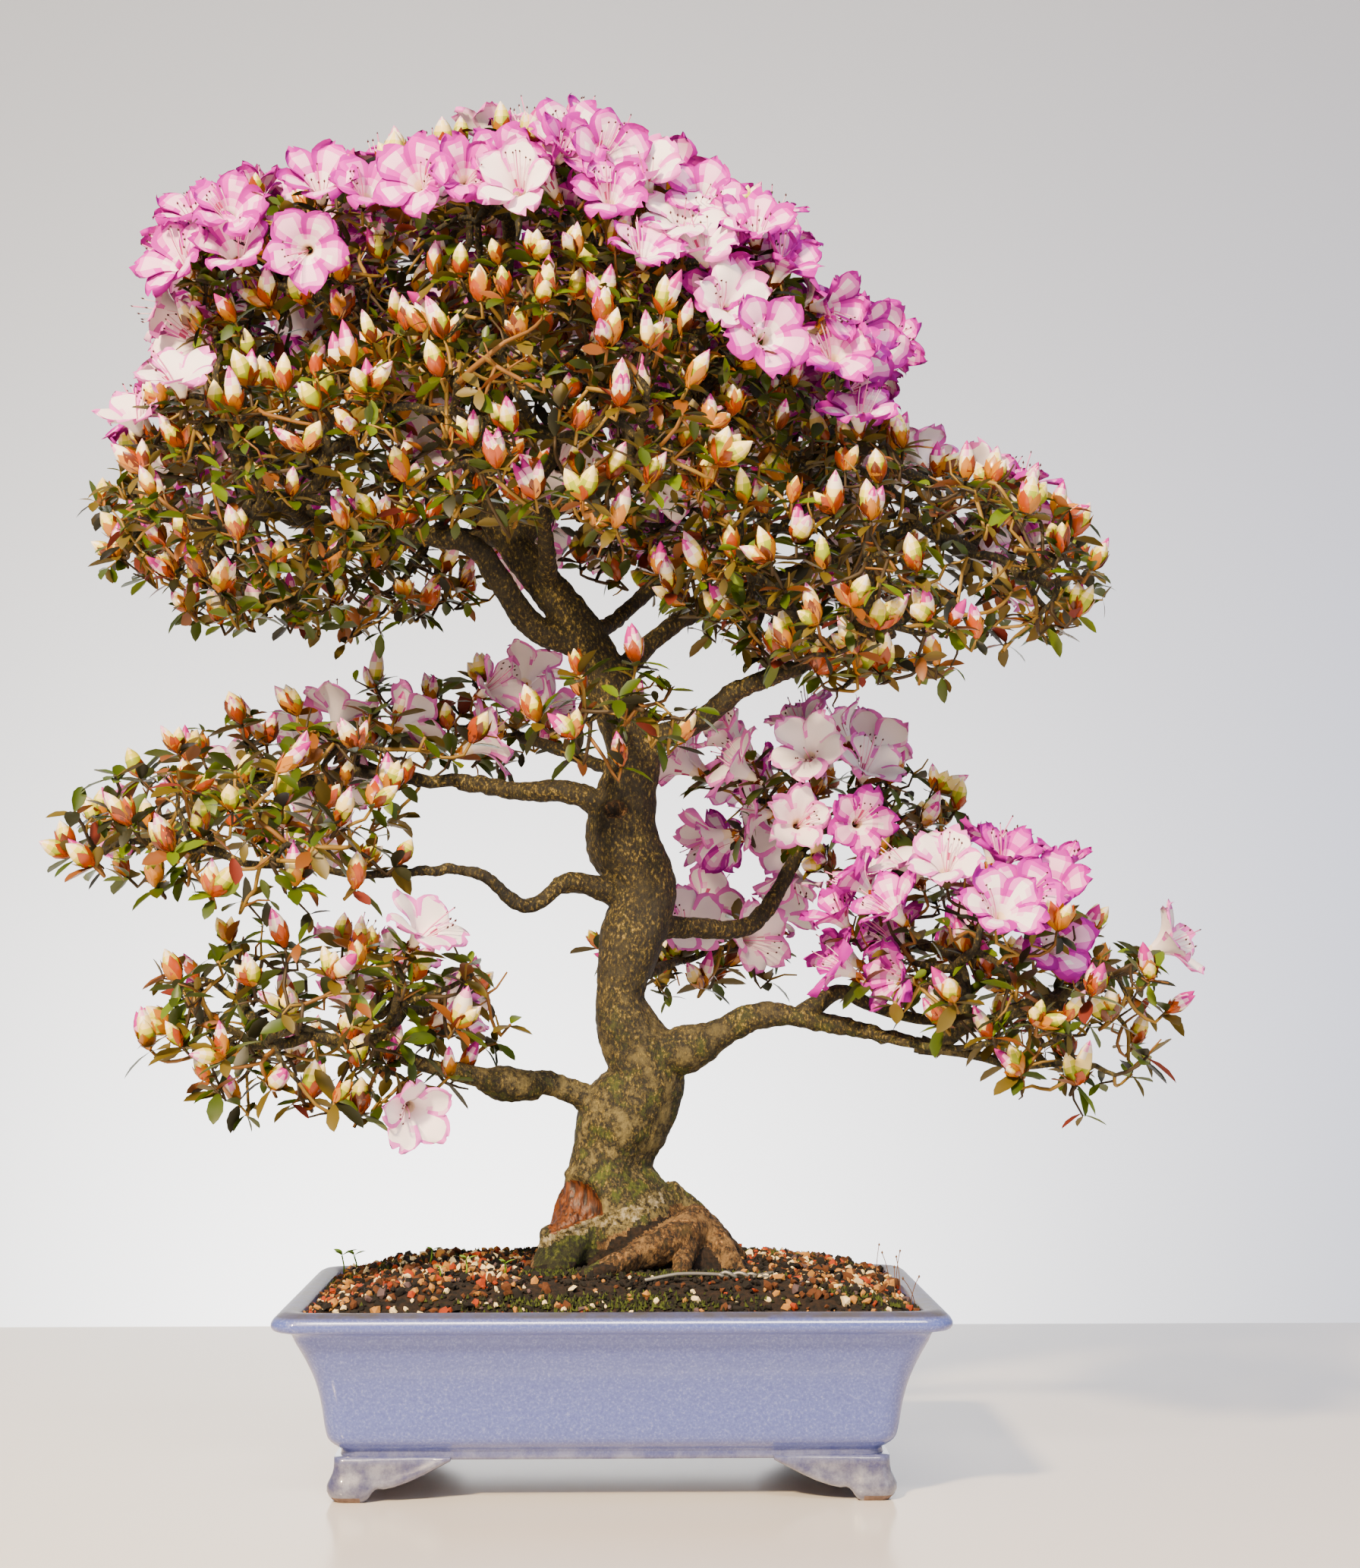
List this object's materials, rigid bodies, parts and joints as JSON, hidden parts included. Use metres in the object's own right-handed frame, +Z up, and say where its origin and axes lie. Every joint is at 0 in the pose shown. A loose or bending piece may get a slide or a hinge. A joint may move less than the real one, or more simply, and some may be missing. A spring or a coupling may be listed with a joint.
{
  "type": "azalea bonsai",
  "caption": "Azalea trained as an upright bonsai: winding trunk with surface roots, layered pads of leaves, buds and open blooms, in a glazed rectangular pot on bracket feet.",
  "frame": {"origin": "middle of the whole tree's box, on the surface that the pot's feet stand on", "axes": "+Z up along the trunk, -Y towards the tree's front, +X to the right as seen from the front"},
  "size_m": [0.6823, 0.4226, 0.8324],
  "materials": {
    "glaze": "gloss",
    "soil": "matte",
    "bark": "matte",
    "foliage": "matte"
  },
  "bodies": {
    "root": {"pot_body": "glaze", "foot_front_left": "glaze", "foot_front_right": "glaze", "foot_back_right": "glaze", "foot_back_left": "glaze", "soil": "soil", "trunk": "bark", "bough_low_left": "bark", "bough_low_right": "bark", "bough_left_mid": "bark", "bough_left_thin": "bark", "bough_right_mid": "bark", "bough_upper_right": "bark", "bough_right_high": "bark", "bough_fork_left": "bark", "bough_left_top": "bark", "bough_right_top": "bark", "bough_front_up": "bark", "bough_back_up": "bark", "bough_back_left": "bark", "bough_back_right": "bark", "bough_back_high": "bark", "bough_back_low": "bark", "bough_front": "bark", "foliage_apex_left": "foliage", "foliage_apex_middle": "foliage", "foliage_apex_right": "foliage", "foliage_apex_back": "foliage", "foliage_crown_left": "foliage", "foliage_crown_front": "foliage", "foliage_crown_right": "foliage", "foliage_crown_right_low": "foliage", "foliage_crown_back_left": "foliage", "foliage_crown_back_right": "foliage", "foliage_left_upper": "foliage", "foliage_left_lower": "foliage", "foliage_low_left": "foliage", "foliage_right_back": "foliage", "foliage_low_right": "foliage", "foliage_back_high": "foliage", "foliage_back_low": "foliage", "foliage_front": "foliage"}
  },
  "joints": []
}
